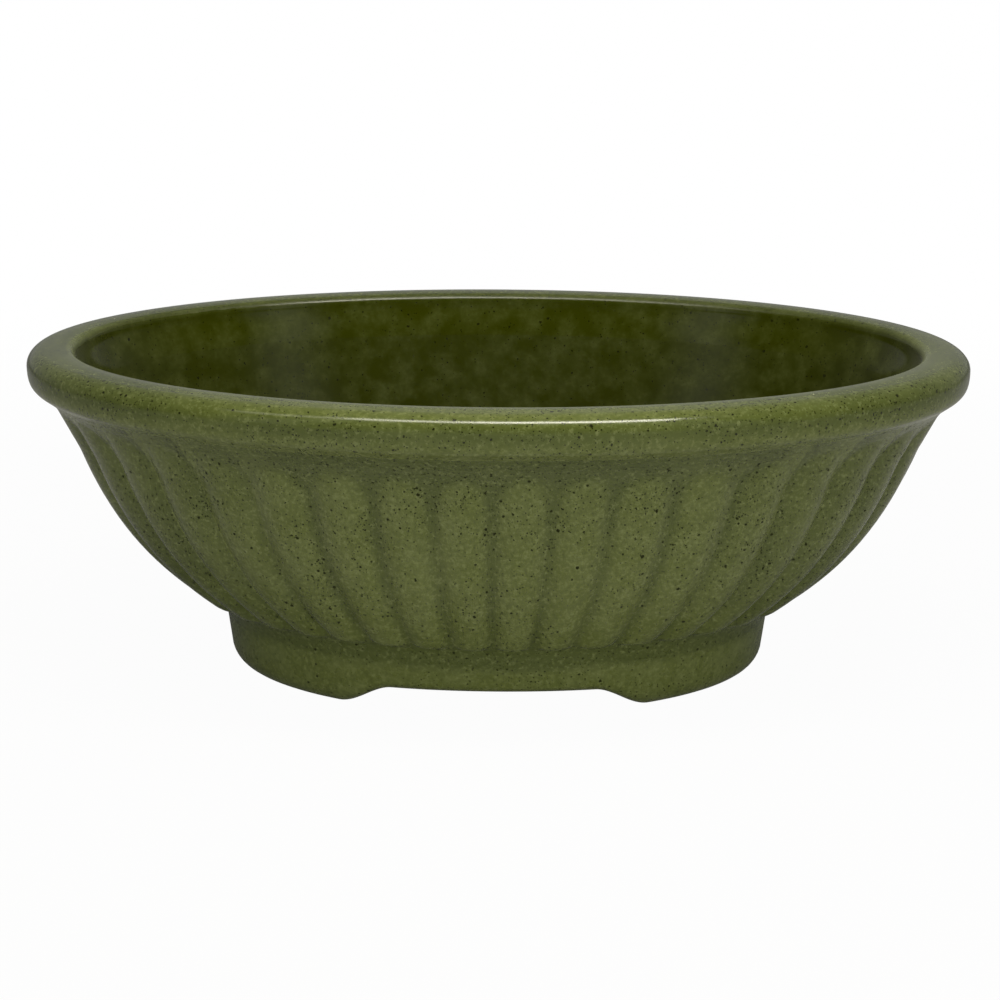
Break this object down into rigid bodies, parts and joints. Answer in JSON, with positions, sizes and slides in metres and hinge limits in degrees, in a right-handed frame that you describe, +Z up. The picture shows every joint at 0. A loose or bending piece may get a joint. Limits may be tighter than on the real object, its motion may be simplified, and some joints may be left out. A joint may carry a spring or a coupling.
{
  "type": "planter bowl",
  "caption": "Oval footed planter bowl in speckled glazed stoneware, with a rounded rim, a reeded wall and a foot notched front and back. It stands on its foot and holds soil and plants.",
  "frame": {"origin": "on the table plane, under the middle of the foot", "axes": "+X along the oval's length, +Y from the front to the back, +Z up through the mouth"},
  "size_m": [0.305, 0.208, 0.106],
  "materials": {
    "foot_glaze": "speckled olive glaze, satin",
    "basin_glaze": "dark olive glaze, glossy",
    "wall_glaze": "speckled olive glaze, satin",
    "rim_glaze": "speckled olive glaze, semi-gloss"
  },
  "bodies": {
    "root": {"foot_ring": "foot_glaze", "bowl_floor": "basin_glaze", "fluted_wall": "wall_glaze", "rim_band": "rim_glaze"}
  },
  "joints": []
}
